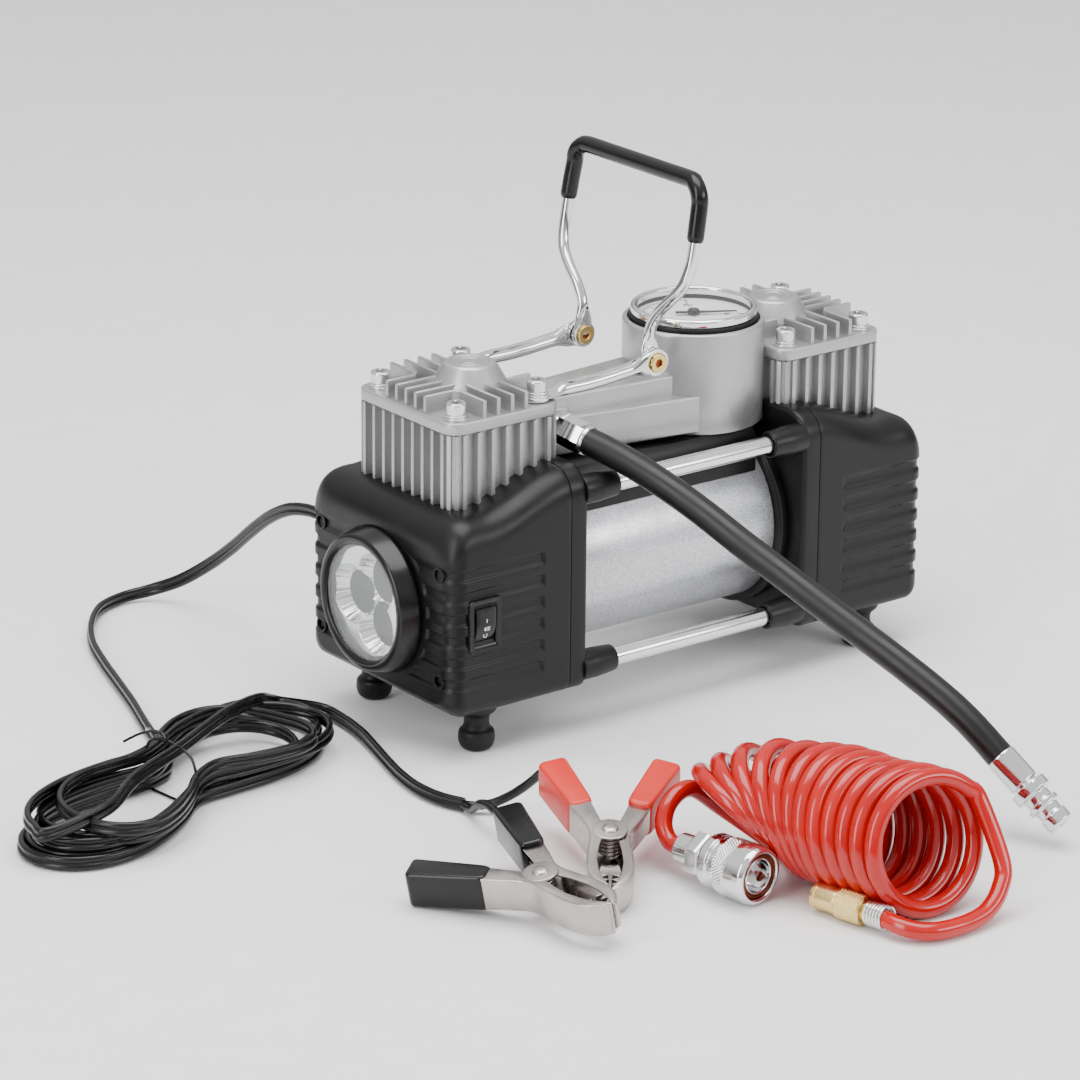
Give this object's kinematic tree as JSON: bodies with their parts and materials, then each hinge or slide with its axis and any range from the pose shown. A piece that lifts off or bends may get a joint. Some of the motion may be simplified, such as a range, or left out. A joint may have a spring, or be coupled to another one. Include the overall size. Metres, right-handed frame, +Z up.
{
  "type": "twin-cylinder air compressor",
  "caption": "Portable twelve-volt air compressor: a motor between two finned cylinders, with gauge, lamp, folding handle, rubber feet, air hose, clamp cable and coiled inflation hose.",
  "frame": {"origin": "on the floor under the feet, at the middle of the box round the machine's body without its cords", "axes": "+X along the motor from the lamp end to the rear end, +Y to the cable gland's side, +Z up"},
  "size_m": [0.4592, 0.5031, 0.2327],
  "materials": {
    "black_plastic": "fine moulded texture, semi-matt",
    "silver_paint": "silver paint on cast metal",
    "flake_paint": "metallic flake silver paint",
    "chrome": "bright plated",
    "steel": "bare steel",
    "brass": "bare brass",
    "rubber": "matt black rubber",
    "cable": "soft black cable jacket",
    "dial": "white printed dial",
    "lens": "clear polished",
    "mirror": "bright reflector",
    "magnet": "grey ferrite",
    "winding": "lacquered copper and steel laminations",
    "red_plastic": "red moulded plastic",
    "red_hose": "glossy red polyurethane"
  },
  "bodies": {
    "compressor": {"front_end_cover": "black_plastic", "rear_end_cover": "black_plastic", "front_inner_cover": "black_plastic", "rear_inner_cover": "black_plastic", "front_motor_flange": "black_plastic", "rear_motor_flange": "black_plastic", "manifold_saddle": "black_plastic", "lamp_bezel": "black_plastic", "switch_frame": "black_plastic", "front_cylinder_block": "silver_paint", "rear_cylinder_block": "silver_paint", "front_head_cover": "silver_paint", "rear_head_cover": "silver_paint", "manifold": "silver_paint", "motor_tube": "flake_paint", "tie_rod_near_upper": "chrome", "tie_rod_near_lower": "chrome", "tie_rod_far_upper": "chrome", "tie_rod_far_lower": "chrome", "handle_arm_near": "chrome", "handle_arm_far": "chrome", "hose_fitting": "chrome", "quick_plug": "chrome", "handle_rivet_near": "brass", "handle_rivet_far": "brass", "foot_front_near": "rubber", "foot_front_far": "rubber", "foot_rear_near": "rubber", "foot_rear_far": "rubber", "gauge_case": "rubber", "air_hose": "rubber", "cable_gland": "rubber", "power_cable": "cable", "cable_hank": "cable", "clip_cable": "cable", "red_lead": "cable", "black_lead": "cable", "gauge_dial": "dial", "gauge_lens": "lens", "lamp_lens": "lens", "lamp_reflector": "mirror", "motor_magnet_ring": "magnet", "red_clip_base": "red_plastic", "black_clip_base": "black_plastic"},
    "handle": {"handle_bail": "chrome", "handle_grip": "black_plastic"},
    "rocker": {"switch_rocker": "black_plastic"},
    "needle": {"gauge_needle": "black_plastic"},
    "motor_armature": {"armature": "winding"},
    "front_crank": {"front_crank_gear": "steel"},
    "rear_crank": {"rear_crank_gear": "steel"},
    "front_piston_rod": {"front_piston": "steel"},
    "rear_piston_rod": {"rear_piston": "steel"},
    "red_jaw": {"red_clip_jaw": "steel"},
    "black_jaw": {"black_clip_jaw": "steel"},
    "recoil_hose": {"recoil_coil": "red_hose", "coupler_tail": "red_hose", "chuck_tail": "red_hose", "quick_coupler": "chrome", "tyre_chuck": "brass"}
  },
  "joints": [
    {"name": "handle_fold", "type": "hinge", "parent": "compressor", "child": "handle", "pos_m": [0.0008, 0, 0.1486], "axis": [0, 1, 0], "range_deg": [-55, 66]},
    {"name": "rocker_tilt", "type": "hinge", "parent": "compressor", "child": "rocker", "pos_m": [-0.1081, -0.0493, 0.0612], "axis": [1, 0, 0], "range_deg": [-18, 0]},
    {"name": "needle_turn", "type": "hinge", "parent": "compressor", "child": "needle", "pos_m": [0.043, 0, 0.157], "axis": [0, 0, 1], "range_deg": [-270, 0], "stiffness_Nm_per_rad": 0.0005},
    {"name": "armature_spin", "type": "hinge", "parent": "compressor", "child": "motor_armature", "pos_m": [0.005, 0, 0.0646], "axis": [1, 0, 0], "continuous": true},
    {"name": "front_crank_spin", "type": "hinge", "parent": "compressor", "child": "front_crank", "pos_m": [-0.054, 0, 0.0436], "axis": [1, 0, 0], "continuous": true},
    {"name": "rear_crank_spin", "type": "hinge", "parent": "compressor", "child": "rear_crank", "pos_m": [0.064, 0, 0.0436], "axis": [1, 0, 0], "continuous": true},
    {"name": "front_piston_slide", "type": "slide", "parent": "compressor", "child": "front_piston_rod", "axis": [0, 0, 1], "range_m": [-0.022, 0]},
    {"name": "rear_piston_slide", "type": "slide", "parent": "compressor", "child": "rear_piston_rod", "axis": [0, 0, 1], "range_m": [-0.022, 0]},
    {"name": "red_jaw_open", "type": "hinge", "parent": "compressor", "child": "red_jaw", "pos_m": [-0.1409, -0.1785, 0.0147], "axis": [-0.119, -0.1535, 0.981], "range_deg": [0, 24], "stiffness_Nm_per_rad": 0.6, "springref_deg": -20.05},
    {"name": "black_jaw_open", "type": "hinge", "parent": "compressor", "child": "black_jaw", "pos_m": [-0.1872, -0.1957, 0.0143], "axis": [-0.2134, -0.0236, 0.9767], "range_deg": [0, 18], "stiffness_Nm_per_rad": 0.6, "springref_deg": -20.05},
    {"name": "recoil_hose_lift", "type": "slide", "parent": "compressor", "child": "recoil_hose", "axis": [0, 0, 1], "range_m": [0, 0.15]}
  ],
  "couplings": [
    {"joint": "front_crank_spin", "follows": "armature_spin", "ratio": -0.3125},
    {"joint": "rear_crank_spin", "follows": "armature_spin", "ratio": -0.3125}
  ]
}
